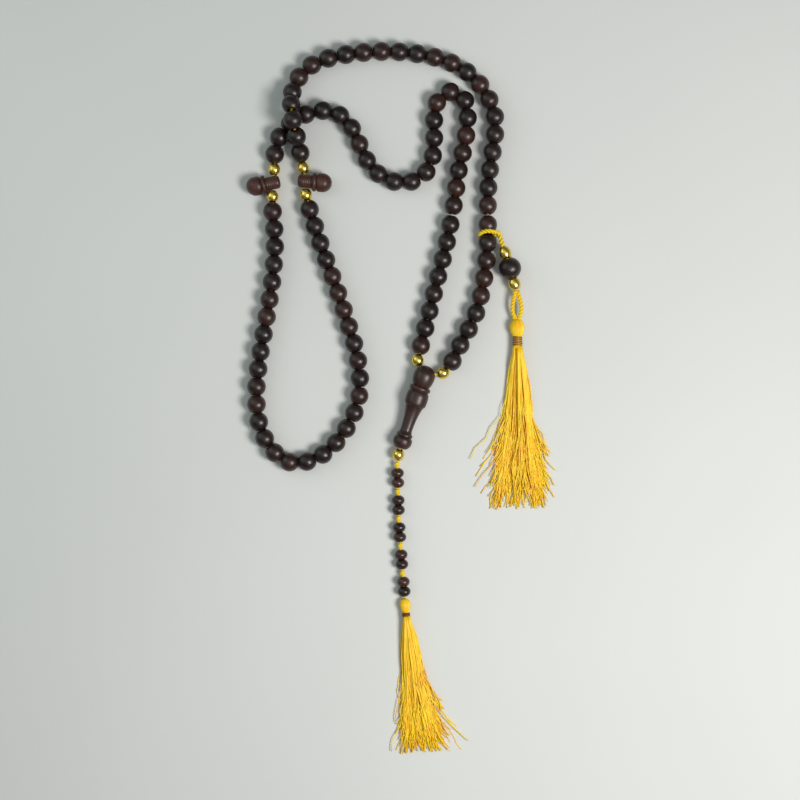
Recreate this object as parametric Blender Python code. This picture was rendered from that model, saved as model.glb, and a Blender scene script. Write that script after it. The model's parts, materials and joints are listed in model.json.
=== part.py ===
"""Misbaha: a loop of 99 wooden prayer beads lying flat on a table, +Y towards the top of the loop.

Two dividers split the loop into thirds of 33 beads. An imame gathers its ends and carries a tail of ten
counters and a tassel. A clip-on marker with its own tassel hangs from the strand. Sizes are in millimetres
and become metres when a mesh is made.
"""

import math

import bmesh
import bpy
import numpy as np
from mathutils import Matrix, Vector

MM = 0.001
GAP = 0.3

BEAD_DIAMETER = 8.0
BEADS_IN_THIRD = 33
MOST_IN_RUN = 6
BEAD_BORE = 2.0
BEAD_NECK = 3.4
PIVOT_SLACK = 0.6
FOLDING_INNER = 8
FOLDING_OUTER = 9
LAYOUT_SCALE = 1.0

GOLD_DIAMETER = 5.0
GOLD_BORE = 2.0
GOLD_NECK = 2.9

CORD_DIAMETER = 1.2

DRUM_DIAMETER = 5.8
DRUM_LENGTH = 6.2
DIVIDER_FLANGE = 8.0
DIVIDER_FLANGE_WIDTH = 1.8
KNOB_DIAMETER = 8.0
KNOB_LENGTH = 6.0
LEFT_KNOB_TILT = 11.0
RIGHT_KNOB_TILT = 5.0

IMAME_LENGTH = 36.6
IMAME_BALL = 9.2
IMAME_EGG = 6.8
IMAME_RING = 9.0
IMAME_COLLAR = 9.4
IMAME_COLLAR_PLACE = 14.6
IMAME_WAIST = 5.0
IMAME_FOOT = 8.0
IMAME_BORE = 2.4
RIGHT_SLACK = 0.8

COUNTER_DIAMETER = 5.5
COUNTER_LENGTH = 4.1
COUNTER_PAIRS = 5
COUNTER_SLIDE = 0.4
KNOT_DIAMETER = 2.4
KNOT_LENGTH = 2.2
TAIL_CORD = 1.2
TAIL_LEAD = 0.6

TAIL_HEAD_DIAMETER = 4.3
TAIL_HEAD_LENGTH = 5.5
TAIL_BINDING_DIAMETER = 3.6
TAIL_BINDING_LENGTH = 2.0
TAIL_SKIRT_LENGTH = 58.0
TAIL_SKIRT_WIDTH = 24.0
SKIRT_THICKNESS = 4.6

MARKER_ROPE = 1.6
MARKER_RING_RADIUS = 3.1
MARKER_BEAD_DIAMETER = 9.6
MARKER_BEAD_LENGTH = 8.6
MARKER_LEAD = 5.2
MARKER_SLOPE = 17.0
MARKER_TASSEL_SLOPE = 1.5
MARKER_GROOVE = 8
MARKER_EYE_LENGTH = 12.0
MARKER_EYE_WIDTH = 5.0
MARKER_HEAD_DIAMETER = 6.1
MARKER_HEAD_LENGTH = 6.9
MARKER_BINDING_DIAMETER = 4.2
MARKER_BINDING_LENGTH = 4.6
MARKER_SKIRT_LENGTH = 68.0
MARKER_SKIRT_WIDTH = 27.0

LEFT_DIVIDER = (-47.3, 111.0)
RIGHT_DIVIDER = (-33.7, 111.7)
IMAME_BALL_CENTRE = (16.5, 29.4)
IMAME_FOOT_END = (6.7, 0.0)

# The strand's route, seen from above. Each third is a list of points between the pieces named here.
INNER_ROUTE = [
    LEFT_DIVIDER, (-46.6, 118.0), (-46.4, 124.0), (-44.2, 131.0), (-39.0, 136.8), (-32.0, 140.4),
    (-24.6, 141.4), (-17.6, 138.6), (-12.6, 131.6), (-9.0, 123.0), (-4.0, 115.7), (4.5, 111.4),
    (13.0, 112.2), (18.6, 117.4), (20.6, 126.0), (20.6, 137.0), (22.4, 145.8), (28.0, 149.4),
    (33.6, 145.8), (34.8, 137.0), (33.2, 126.0), (31.0, 116.0), (29.0, 101.7), (26.0, 85.7),
    (22.0, 70.0), (18.3, 55.0), (15.4, 43.6), (13.8, 36.2), IMAME_BALL_CENTRE,
]
OUTER_ROUTE = [
    RIGHT_DIVIDER, (-34.6, 118.0), (-36.4, 127.0), (-38.6, 138.0), (-39.0, 148.6), (-34.4, 158.0),
    (-24.4, 163.4), (-11.0, 165.8), (2.0, 166.4), (15.0, 165.2), (28.0, 161.6), (38.0, 154.8),
    (44.2, 145.6), (46.6, 136.4), (45.4, 125.0), (43.8, 113.0), (43.3, 102.0), (43.3, 88.0),
    (42.0, 72.3), (38.6, 56.8), (31.8, 42.8), (24.8, 31.0), IMAME_BALL_CENTRE,
]
MIDDLE_ROUTE = [
    LEFT_DIVIDER, (-47.4, 105.0), (-47.4, 99.0), (-46.4, 86.0), (-47.6, 69.6), (-50.0, 54.0),
    (-52.6, 39.0), (-54.2, 24.6), (-53.4, 11.0), (-49.4, 1.0), (-42.0, -6.2), (-32.4, -6.4),
    (-24.4, -2.2), (-16.8, 6.6), (-11.0, 20.4), (-11.4, 36.0), (-15.4, 51.0), (-20.6, 67.0),
    (-26.4, 83.0), (-31.4, 98.6), (-33.2, 105.0), RIGHT_DIVIDER,
]
# How far the tail's bends lie from the end of the imame's foot.
TAIL_BENDS = [(-1.2, -5.0), (-1.0, -14.0), (-0.6, -30.0), (0.4, -45.0), (1.8, -62.0), (3.4, -80.0)]
# How wide a tassel's skirt is, as shares of its full width, by the share of its length.
SKIRT_SHAPE = [(0.0, 0.14), (0.12, 0.32), (0.35, 0.44), (0.62, 0.5), (0.85, 0.82), (1.0, 1.0)]

MATERIALS = {
    "dark_wood": ((0.045, 0.022, 0.016), 0.35, 0.0),
    "red_wood": ((0.13, 0.045, 0.03), 0.5, 0.0),
    "imame_wood": ((0.07, 0.03, 0.02), 0.4, 0.0),
    "gold": ((0.85, 0.6, 0.2), 0.25, 1.0),
    "yellow_cord": ((0.75, 0.45, 0.02), 0.75, 0.0),
    "yellow_silk": ((0.85, 0.5, 0.01), 0.6, 0.0),
    "copper_thread": ((0.35, 0.09, 0.025), 0.5, 0.2),
}


def clear_scene():
    for obj in list(bpy.data.objects):
        bpy.data.objects.remove(obj, do_unlink=True)


def material(name):
    found = bpy.data.materials.get(name)
    if found:
        return found
    colour, roughness, metallic = MATERIALS[name]
    made = bpy.data.materials.new(name)
    made.use_nodes = True
    shader = made.node_tree.nodes["Principled BSDF"]
    shader.inputs["Base Color"].default_value = (*colour, 1.0)
    shader.inputs["Roughness"].default_value = roughness
    shader.inputs["Metallic"].default_value = metallic
    return made


def add_object(name, data, material_name, pivot):
    """Links the mesh or curve, whose points are in metres from the pivot, given in millimetres."""
    data.materials.append(material(material_name))
    obj = bpy.data.objects.new(name, data)
    obj.location = Vector(pivot) * MM
    bpy.context.scene.collection.objects.link(obj)
    return obj


# Routes


def catmull_rom(points, steps=16):
    """Points of a centripetal curve through the given points."""
    given = np.array(points, float)
    given = np.vstack([2 * given[0] - given[1], given, 2 * given[-1] - given[-2]])
    made = []
    for p0, p1, p2, p3 in zip(given, given[1:], given[2:], given[3:]):
        t1 = np.linalg.norm(p1 - p0) ** 0.5
        t2 = t1 + np.linalg.norm(p2 - p1) ** 0.5
        t3 = t2 + np.linalg.norm(p3 - p2) ** 0.5
        for t in np.linspace(t1, t2, steps, endpoint=False):
            a1 = p0 + (p1 - p0) * t / t1
            a2 = p1 + (p2 - p1) * (t - t1) / (t2 - t1)
            a3 = p2 + (p3 - p2) * (t - t2) / (t3 - t2)
            b1 = a1 + (a2 - a1) * t / t2
            b2 = a2 + (a3 - a2) * (t - t1) / (t3 - t1)
            made.append(b1 + (b2 - b1) * (t - t1) / (t2 - t1))
    made.append(given[-2])
    return np.array(made)


class Route:
    """A smooth path that is read by the distance along it."""

    def __init__(self, points):
        self.points = np.array(points, float)
        steps = np.linalg.norm(np.diff(self.points, axis=0), axis=1)
        self.marks = np.concatenate([[0.0], np.cumsum(steps)])
        self.length = self.marks[-1]

    def at(self, s):
        return np.array([np.interp(s, self.marks, column) for column in self.points.T])

    def heading(self, s, reach=0.4):
        away = self.at(min(s + reach, self.length)) - self.at(max(s - reach, 0.0))
        return away / np.linalg.norm(away)

    def frame(self, s):
        return frame_along(self.at(s), self.heading(s))


def frame_along(place, heading):
    """A matrix at the place with Z along the heading and X level."""
    z = Vector(heading).normalized()
    up = Vector((0, 0, 1)) if abs(z.z) < 0.95 else Vector((0, 1, 0))
    x = z.cross(up).normalized()
    turned = Matrix((x, z.cross(x), z)).transposed().to_4x4()
    return Matrix.Translation(Vector(place)) @ turned


def laid(points, height):
    """A layout's points at a height above the table."""
    return [(x * LAYOUT_SCALE, y * LAYOUT_SCALE, height) for x, y in points]


def crossing_of(one, other):
    """How far along the first route it crosses the other, in the first third of both."""
    a = one.points[: len(one.points) // 3, :2]
    b = other.points[: len(other.points) // 3, :2]
    apart = np.linalg.norm(a[:, None] - b[None], axis=2)
    return one.marks[apart.min(axis=1).argmin()]


def lifted_over(route, crossing):
    """The route with a hump that carries its beads over the strand that it crosses."""
    rise = BEAD_DIAMETER + 2 * GAP
    reach = 2.1 * BEAD_DIAMETER
    near = np.clip(np.abs(route.marks - crossing) / reach, 0, 1)
    points = route.points.copy()
    points[:, 2] += rise * 0.5 * (1 + np.cos(math.pi * near))
    return Route(points)


def strand_routes():
    height = BEAD_DIAMETER / 2
    inner = Route(catmull_rom(laid(INNER_ROUTE, height)))
    outer = Route(catmull_rom(laid(OUTER_ROUTE, height)))
    middle = Route(catmull_rom(laid(MIDDLE_ROUTE, height)))
    return inner, lifted_over(outer, crossing_of(outer, inner)), middle


# Solids made of rings


def ring(bm, frame, radius, segments, flat=1.0):
    """A circle of vertices in metres, square to the frame's Z. flat squeezes it along the frame's Y."""
    placed = frame.copy()
    placed.translation = frame.translation * MM
    placed @= Matrix.Diagonal((1.0, flat, 1.0, 1.0))
    made = bmesh.ops.create_circle(bm, radius=radius * MM, segments=segments, matrix=placed)
    return made["verts"]


def bridge(bm, rings, loop=False):
    """Joins each ring to the next with quads. loop joins the last to the first, or the ends are capped."""
    following = rings[1:] + rings[:1] if loop else rings[1:]
    for one, other in zip(rings, following):
        for i in range(len(one)):
            bm.faces.new((one[i - 1], one[i], other[i], other[i - 1]))
    if not loop:
        bm.faces.new(rings[0])
        bm.faces.new(rings[-1])


def finish_solid(bm, name, material_name, pivot):
    bmesh.ops.recalc_face_normals(bm, faces=bm.faces)
    bmesh.ops.translate(bm, verts=bm.verts, vec=-Vector(pivot) * MM)
    mesh = bpy.data.meshes.new(name)
    bm.to_mesh(mesh)
    bm.free()
    mesh.polygons.foreach_set("use_smooth", [True] * len(mesh.polygons))
    return add_object(name, mesh, material_name, pivot)


def turned(name, frame, profile, material_name, pivot, segments=16, flat=1.0):
    """A closed solid turned from (distance along the frame's Z, radius) pairs."""
    bm = bmesh.new()
    rings = [ring(bm, frame @ Matrix.Translation((0, 0, z)), r, segments, flat) for z, r in profile]
    bridge(bm, rings)
    return finish_solid(bm, name, material_name, pivot)


def bead_outline(length, diameter, neck):
    """(distance from the middle, radius) pairs of a bead whose ends are cut flat at the neck."""
    semi = length / 2 / math.sqrt(1 - (neck / diameter) ** 2)
    places = [-length / 2, -0.29 * length, 0.0, 0.29 * length, length / 2]
    return [(z, diameter / 2 * math.sqrt(max(1 - (z / semi) ** 2, 0))) for z in places]


def strung_beads(name, route, stations, size, material_name, pivot):
    """Beads joined end to end along a route, with one bore. size is (length, diameter, neck, bore)."""
    length, diameter, neck, bore = size
    outline = bead_outline(length, diameter, neck)
    outer = [(station + z, r) for station in stations for z, r in outline[:-1]]
    outer.append((stations[-1] + length / 2, neck / 2))
    outer[0] = (outer[0][0] + GAP / 2, neck / 2)
    outer[-1] = (outer[-1][0] - GAP / 2, neck / 2)
    inner = [(s, bore / 2) for s, r in outer[:: len(outline) - 1]]
    bm = bmesh.new()
    rings = [ring(bm, route.frame(s), r, 8) for s, r in outer]
    rings += [ring(bm, route.frame(s), r, 8) for s, r in reversed(inner)]
    bridge(bm, rings, loop=True)
    return finish_solid(bm, name, material_name, pivot)


def tube(name, points, diameter, material_name, pivot, closed=False):
    """A cord: a POLY curve through points in millimetres."""
    curve = bpy.data.curves.new(name, "CURVE")
    curve.dimensions = "3D"
    curve.bevel_depth = diameter / 2 * MM
    curve.bevel_resolution = 2
    curve.use_fill_caps = True
    spline = curve.splines.new("POLY")
    spline.points.add(len(points) - 1)
    for made, place in zip(spline.points, points):
        made.co = (*((Vector(place) - Vector(pivot)) * MM), 1.0)
    spline.use_cyclic_u = closed
    return add_object(name, curve, material_name, pivot)


def places_along(route, stations):
    return [route.at(s) for s in stations]


def cord(name, points, pivot, diameter=CORD_DIAMETER):
    return tube(name, points, diameter, "yellow_cord", pivot)


def drill(obj, start, end, diameter, number=0):
    """Cuts a straight hole between two places in millimetres."""
    start, end = Vector(start), Vector(end)
    cutter = turned(
        f"{obj.name}_drill_{number}", frame_along(start, end - start),
        [(0, diameter / 2), ((end - start).length, diameter / 2)], "gold", (0, 0, 0), segments=8,
    )
    cutter.hide_render = True
    cutter.display_type = "WIRE"
    cut = obj.modifiers.new(f"drill_{number}", "BOOLEAN")
    cut.operation = "DIFFERENCE"
    cut.object = cutter


# The strand


def gold_at_divider():
    """How far a gold bead's middle stays from the middle of a divider's drum."""
    return DRUM_DIAMETER / 2 + GAP + GOLD_DIAMETER / 2


def gold_at_imame(slack=0.0):
    """How far a gold bead's middle stays from the middle of the imame's ball."""
    return IMAME_BALL / 2 + GAP + slack + GOLD_DIAMETER / 2


class Third:
    """33 beads along a route, and the gold beads at its ends."""

    def __init__(self, name, route, end_gold, folding=0):
        self.name, self.route, self.folding = name, route, folding
        self.golds = [gold_at_divider(), route.length - end_gold]
        first, last = (
            gold + way * (GOLD_DIAMETER + GAP) / 2 for gold, way in zip(self.golds, (1, -1))
        )
        slack = PIVOT_SLACK if folding else 0.0
        self.pitch = (last - first - slack) / BEADS_IN_THIRD
        self.stations = [first + self.pitch * (i + 0.5) for i in range(BEADS_IN_THIRD)]
        for i in range(BEADS_IN_THIRD - folding, BEADS_IN_THIRD):
            self.stations[i] += slack
        self.pivot_station = self.stations[BEADS_IN_THIRD - folding - 1]

    def pivot(self):
        """The middle of the bead that the folding part turns round."""
        return self.route.at(self.pivot_station)

    def runs(self):
        """(first bead, past the last bead) of each run, which never spans the fold."""
        found = []
        fixed = BEADS_IN_THIRD - self.folding
        for start, end in ((0, fixed), (fixed, BEADS_IN_THIRD)):
            count = math.ceil((end - start) / MOST_IN_RUN)
            edges = [start + round((end - start) * i / max(count, 1)) for i in range(count + 1)]
            found += list(zip(edges, edges[1:]))
        return found

    def necks(self):
        """Where beads meet, up to the fold and past it, with each list's first and last bead ends."""
        half = self.pitch / 2
        fixed = BEADS_IN_THIRD - self.folding
        still = [self.stations[0] - half] + [s + half for s in self.stations[:fixed]]
        past = [s - half for s in self.stations[fixed:]] + [self.stations[-1] + half]
        return still, past

    def make_runs(self, fixed_pivot, folding_pivot):
        size = (self.pitch, BEAD_DIAMETER, BEAD_NECK, BEAD_BORE)
        for number, (first, past) in enumerate(self.runs(), 1):
            folds = first >= BEADS_IN_THIRD - self.folding
            strung_beads(
                f"{self.name}_beads_{number}", self.route, self.stations[first:past], size, "dark_wood",
                folding_pivot if folds else fixed_pivot,
            )


def straight_through(route, station):
    """A short straight route with its middle at the station, as a single bead can't bend."""
    middle, way = route.at(station), route.heading(station)
    return Route([middle - way * GOLD_DIAMETER / 2, middle + way * GOLD_DIAMETER / 2])


def gold_ends(route, station):
    """Where the cord enters and leaves a gold bead."""
    return list(straight_through(route, station).points)


def gold_bead(name, route, station, pivot):
    size = (GOLD_DIAMETER, GOLD_DIAMETER, GOLD_NECK, GOLD_BORE)
    straight = straight_through(route, station)
    strung_beads(name, straight, [straight.length / 2], size, "gold", pivot)


def make_strand(inner, outer, middle, pivots):
    root, fold, loop = pivots["strand"], pivots["imame_loop"], pivots["middle_loop"]
    inner.make_runs(root, fold)
    outer.make_runs(root, fold)
    middle.make_runs(loop, loop)
    for third, side in ((inner, "left"), (outer, "right")):
        upper, at_imame = third.golds
        fixed, folding = third.necks()
        gold_bead(f"gold_{side}_upper", third.route, upper, root)
        gold_bead(f"gold_{side}_imame", third.route, at_imame, fold)
        top = [third.route.at(DRUM_DIAMETER / 2 + GAP / 2), *gold_ends(third.route, upper)]
        cord(f"cord_{third.name}", [*top, *places_along(third.route, fixed)], root)
        bottom = [*places_along(third.route, folding), *gold_ends(third.route, at_imame)]
        cord(f"cord_{third.name}_fold", bottom, fold)
    for station, side in zip(middle.golds, ("left", "right")):
        gold_bead(f"gold_{side}_lower", middle.route, station, root)
    start = middle.golds[0] + GOLD_DIAMETER / 2 + GAP
    stations = [start, *middle.necks()[0][1:-1], middle.route.length - start]
    cord("cord_middle", places_along(middle.route, stations), loop)


def divider_profile():
    """From the drum's round end to the knob's dome, with the cord's hole half way along the drum."""
    drum, flange, knob = DRUM_DIAMETER / 2, DIVIDER_FLANGE / 2, KNOB_DIAMETER / 2
    edge = DRUM_LENGTH / 2
    under = edge + DIVIDER_FLANGE_WIDTH
    base = under + 0.4
    return [
        (-edge, 0.45 * drum), (-edge + 0.5, 0.85 * drum), (-edge + 1.2, drum), (edge - 0.3, drum),
        (edge, 0.92 * flange), (edge + 0.4, flange), (under - 0.4, flange), (under, 0.92 * flange),
        (under + 0.1, 0.7 * knob), (base, 0.7 * knob), (base + 0.1, 0.92 * knob),
        (base + 0.2 * KNOB_LENGTH, knob), (base + 0.5 * KNOB_LENGTH, 0.98 * knob),
        (base + 0.8 * KNOB_LENGTH, 0.78 * knob), (base + KNOB_LENGTH, 0.35 * knob),
    ]


def make_divider(name, route, station, side, tilt):
    """side is -1 for a knob that points left, and tilt is how far it droops, in degrees."""
    centre = route.at(station)
    angle = math.radians(tilt)
    frame = frame_along(centre, (side * math.cos(angle), -math.sin(angle), 0.0))
    made = turned(name, frame, divider_profile(), "red_wood", centre, segments=12)
    along = route.heading(station)
    drill(made, centre - along * DRUM_DIAMETER, centre + along * DRUM_DIAMETER, GOLD_BORE)


def imame_profile():
    """From the top of the ball to the foot."""
    ball, collar, foot = IMAME_BALL / 2, IMAME_COLLAR / 2, IMAME_FOOT / 2
    ring_radius, waist = IMAME_RING / 2, IMAME_WAIST / 2
    round_part = [
        (ball - (ball if a < 90 else IMAME_EGG) * math.cos(math.radians(a)), ball * math.sin(math.radians(a)))
        for a in (12, 35, 60, 90, 108, 120, 128)
    ]
    start = round_part[-1][0]
    end = IMAME_LENGTH
    return round_part + [
        (start + 0.4, 0.82 * ring_radius), (start + 0.8, 0.96 * ring_radius), (start + 1.2, ring_radius),
        (start + 1.9, 0.98 * ring_radius), (start + 2.3, 0.86 * ring_radius), (start + 2.8, 0.9 * collar),
        (start + 4.0, 0.98 * collar), (IMAME_COLLAR_PLACE, collar), (IMAME_COLLAR_PLACE + 2.2, 0.97 * collar),
        (start + 8.6, 0.92 * collar), (start + 8.8, 0.84 * collar), (start + 10.0, 1.42 * waist),
        (start + 12.0, 1.24 * waist), (start + 14.6, 1.1 * waist), (start + 17.6, waist),
        (end - 8.0, waist), (end - 6.8, 1.16 * waist), (end - 6.1, 1.36 * waist), (end - 5.6, 1.36 * waist),
        (end - 5.2, 1.24 * waist), (end - 4.8, 0.88 * foot), (end - 3.6, foot), (end - 2.2, 0.97 * foot),
        (end - 1.0, 0.84 * foot), (end - 0.2, 0.64 * foot), (end, 0.5 * foot),
    ]


def imame_places():
    """The middle of the ball and the end of the foot, with the collar and the foot on the table."""
    collar, foot = IMAME_COLLAR / 2, IMAME_FOOT / 2
    rise = (collar - foot) / (IMAME_LENGTH - IMAME_COLLAR_PLACE)
    height = collar + GAP / 2 + rise * (IMAME_COLLAR_PLACE - IMAME_BALL / 2)
    ball = Vector((*(c * LAYOUT_SCALE for c in IMAME_BALL_CENTRE), height))
    aim = Vector(
        (IMAME_FOOT_END[0] - IMAME_BALL_CENTRE[0], IMAME_FOOT_END[1] - IMAME_BALL_CENTRE[1], 0)
    ).normalized()
    length = IMAME_LENGTH - IMAME_BALL / 2
    return ball, ball + aim * length + Vector((0, 0, foot + GAP / 2 - ball.z))


def make_imame(inner, outer, pivot):
    ball, foot = imame_places()
    axis = (foot - ball).normalized()
    frame = frame_along(ball - axis * IMAME_BALL / 2, axis)
    made = turned("imame", frame, imame_profile(), "imame_wood", pivot)
    for number, third in enumerate((inner, outer)):
        way = (Vector(third.route.at(third.golds[-1])) - ball).normalized()
        drill(made, ball - way * 0.4, ball + way * IMAME_BALL, IMAME_BORE, number)
    drill(made, ball, foot + axis * 2.0, IMAME_BORE, 2)
    ends = []
    for third in (inner, outer):
        gold = Vector(third.route.at(third.golds[-1]))
        way = (ball - gold).normalized()
        ends.append([gold + way * (GOLD_DIAMETER / 2 + 1.5 * GAP), ball - way * 1.3])
    turn = ball - axis * 0.4
    cord("imame_cord", [*ends[0], turn, *reversed(ends[1])], pivot)


# The tail


class Tail:
    """The places of the tail's pieces, measured along a route that starts inside the imame."""

    def __init__(self):
        ball, foot = imame_places()
        axis = (foot - ball).normalized()
        low = COUNTER_DIAMETER / 2
        start = foot - axis * (IMAME_LENGTH - IMAME_BALL - 0.2)
        bends = [(foot.x + x, foot.y + y, low) for x, y in TAIL_BENDS]
        bends[0] = (*bends[0][:2], (foot.z + low) / 2)
        self.route = Route(catmull_rom([start, foot - axis * 4.0, foot, *bends]))
        nearest = np.linalg.norm(self.route.points - np.array(foot), axis=1).argmin()
        self.foot = self.route.marks[nearest]
        s = self.foot + GAP
        self.gold = s + GOLD_DIAMETER / 2
        s += GOLD_DIAMETER + TAIL_LEAD
        self.cord_start = s
        self.knots, self.counters = [], []
        for _ in range(COUNTER_PAIRS):
            self.knots.append(s + KNOT_LENGTH / 2)
            s += KNOT_LENGTH + GAP / 2 + COUNTER_SLIDE
            for _ in range(2):
                self.counters.append(s + COUNTER_LENGTH / 2)
                s += COUNTER_LENGTH
            s += GAP / 2 + COUNTER_SLIDE
        self.swing = s + TAIL_LEAD / 2
        self.head = s + TAIL_LEAD

    def pivot(self):
        return self.route.at(self.gold)


def make_tail_cord(tail, pivot):
    """The cord below the gold bead, thickened into a knot above each pair of counters."""
    bm = bmesh.new()
    thin, thick = TAIL_CORD / 2, KNOT_DIAMETER / 2
    marks = [(tail.cord_start - TAIL_LEAD / 2, thin)]
    for knot in tail.knots:
        half, full = KNOT_LENGTH / 2, 0.55 * KNOT_LENGTH / 2
        marks += [(knot - half, thin), (knot - full, thick), (knot + full, thick), (knot + half, thin)]
    marks += [(tail.swing - GAP / 2, thin)]
    rings = [ring(bm, tail.route.frame(s), r, 8) for s, r in marks]
    bridge(bm, rings)
    finish_solid(bm, "tail_cord", "yellow_cord", pivot)


def make_tassel(name, start, heading, sizes, pivot):
    """Head, binding and skirt in a line from start. The skirt sinks to the table."""
    head_d, head_l, binding_d, binding_l, skirt_l, skirt_w = sizes
    heading = Vector(heading)
    frame = frame_along(start, heading)
    head = [
        (0.0, 0.22 * head_d), (0.12 * head_l, 0.36 * head_d), (0.4 * head_l, 0.5 * head_d),
        (0.7 * head_l, 0.46 * head_d), (head_l, 0.34 * head_d),
    ]
    turned(f"{name}_head", frame, head, "yellow_silk", pivot, segments=10)
    begin = head_l + GAP
    wound = binding_d / 2
    binding = [
        (begin, 0.86 * wound), (begin + 0.4, wound), (begin + binding_l - 0.4, wound),
        (begin + binding_l, 0.86 * wound),
    ]
    turned(f"{name}_binding", frame, binding, "copper_thread", pivot, segments=10)
    make_skirt(f"{name}_skirt", Vector(start) + heading * (begin + binding_l + GAP), heading, sizes, pivot)


def make_skirt(name, start, heading, sizes, pivot):
    binding, length, full_width = sizes[2], sizes[4], sizes[5]
    bm = bmesh.new()
    rings = []
    for share, wide in SKIRT_SHAPE:
        place = start + heading * share * length
        width = max(wide * full_width, 0.85 * binding)
        thick = 0.85 * binding + (SKIRT_THICKNESS - binding) * min(1.0, 3 * share)
        place.z += (thick / 2 - place.z) * min(1.0, 4 * share)
        level = frame_along(place, Vector((heading.x, heading.y, 0)))
        rings.append(ring(bm, level, width / 2, 12, thick / width))
    bridge(bm, rings)
    finish_solid(bm, name, "yellow_silk", pivot)


def make_tail(tail, pivots):
    gold_bead("gold_tail", tail.route, tail.gold, pivots["imame"])
    hidden = places_along(tail.route, [0.4, tail.foot - 4.0, tail.foot])
    points = [*hidden, *gold_ends(tail.route, tail.gold)]
    cord("cord_imame_to_tail", points, pivots["imame"], TAIL_CORD)
    make_tail_cord(tail, pivots["tail"])
    size = (COUNTER_LENGTH, COUNTER_DIAMETER, 0.5 * COUNTER_DIAMETER, TAIL_CORD + 2 * GAP)
    for number, station in enumerate(tail.counters, 1):
        strung_beads(f"counter_{number}", tail.route, [station], size, "red_wood", tail.route.at(station))
    sizes = (
        TAIL_HEAD_DIAMETER, TAIL_HEAD_LENGTH, TAIL_BINDING_DIAMETER, TAIL_BINDING_LENGTH,
        TAIL_SKIRT_LENGTH, TAIL_SKIRT_WIDTH,
    )
    start = tail.route.at(tail.head)
    make_tassel("tail_tassel", start, tail.route.heading(tail.swing), sizes, pivots["tail_tassel"])


# The marker


def heading_down(slope):
    """The direction of -Y turned towards +X by the slope in degrees."""
    angle = math.radians(slope)
    return Vector((math.sin(angle), -math.cos(angle), 0.0))


class Marker:
    """The clip-on marker's places: a ring in a groove of the outer strand and what hangs off it."""

    def __init__(self, outer):
        groove = sum(outer.stations[-MARKER_GROOVE - 1 : 1 - MARKER_GROOVE]) / 2
        self.ring_frame = outer.route.frame(groove)
        self.heading = heading_down(MARKER_SLOPE)
        self.tassel_heading = heading_down(MARKER_TASSEL_SLOPE)
        reach = MARKER_RING_RADIUS + MARKER_ROPE + GAP
        self.swing = Vector(outer.route.at(groove)) + Vector((reach, -0.8, 0.0))
        self.line_start = self.swing + self.heading * MARKER_LEAD
        self.line_start.z = MARKER_BEAD_DIAMETER / 2
        self.upper_gold = GOLD_DIAMETER / 2
        self.bead = GOLD_DIAMETER + MARKER_BEAD_LENGTH / 2
        self.lower_gold = GOLD_DIAMETER + MARKER_BEAD_LENGTH + GOLD_DIAMETER / 2
        self.eye = 2 * GOLD_DIAMETER + MARKER_BEAD_LENGTH + GAP

    def along(self, distance):
        return self.line_start + self.heading * distance

    def line(self):
        return Route([self.line_start - self.heading * 2, self.along(self.eye + 4)])


def make_marker(marker, pivots):
    fold, hang, beads = pivots["imame_loop"], pivots["marker"], pivots["marker_beads"]
    around = []
    for i in range(16):
        angle = 2 * math.pi * i / 16
        reach = MARKER_RING_RADIUS
        around.append(marker.ring_frame @ Vector((reach * math.cos(angle), reach * math.sin(angle), 0)))
    tube("marker_ring", around, MARKER_ROPE * 0.9, "yellow_cord", fold, closed=True)
    rope = [marker.swing, marker.along(0), marker.along(marker.bead), marker.along(marker.eye - GAP)]
    tube("marker_rope", rope, MARKER_ROPE, "yellow_cord", hang)
    line = marker.line()
    gold = (GOLD_DIAMETER, GOLD_DIAMETER, GOLD_NECK, MARKER_ROPE + 2 * GAP)
    wood = (MARKER_BEAD_LENGTH, MARKER_BEAD_DIAMETER, BEAD_NECK, MARKER_ROPE + 2 * GAP)
    for name, station, size, look in (
        ("gold_marker_upper", marker.upper_gold, gold, "gold"),
        ("marker_bead", marker.bead, wood, "dark_wood"),
        ("gold_marker_lower", marker.lower_gold, gold, "gold"),
    ):
        strung_beads(name, line, [station + 2], size, look, beads)
    make_marker_tassel(marker, pivots["marker_tassel"])


def make_marker_tassel(marker, pivot):
    """The eye of cord above the head, a little wider half way, then the tassel."""
    heading, top = marker.tassel_heading, marker.along(marker.eye)
    side = heading.cross(Vector((0, 0, 1)))
    reach = MARKER_EYE_LENGTH - MARKER_ROPE
    drop = Vector((0, 0, (MARKER_BEAD_DIAMETER - MARKER_HEAD_DIAMETER) / 2))
    spread = (MARKER_EYE_WIDTH - MARKER_ROPE) / 2
    eye = []
    for i in range(20):
        angle = 2 * math.pi * i / 20
        down = 0.5 - 0.5 * math.cos(angle)
        along = MARKER_ROPE / 2 + reach * down
        eye.append(top + heading * along + side * spread * math.sin(angle) - drop * down)
    tube("marker_eye", eye, MARKER_ROPE, "yellow_cord", pivot, closed=True)
    sizes = (
        MARKER_HEAD_DIAMETER, MARKER_HEAD_LENGTH, MARKER_BINDING_DIAMETER, MARKER_BINDING_LENGTH,
        MARKER_SKIRT_LENGTH, MARKER_SKIRT_WIDTH,
    )
    start = top + heading * (MARKER_EYE_LENGTH + GAP) - drop
    make_tassel("marker_tassel", start, heading, sizes, pivot)


# The whole


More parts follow.
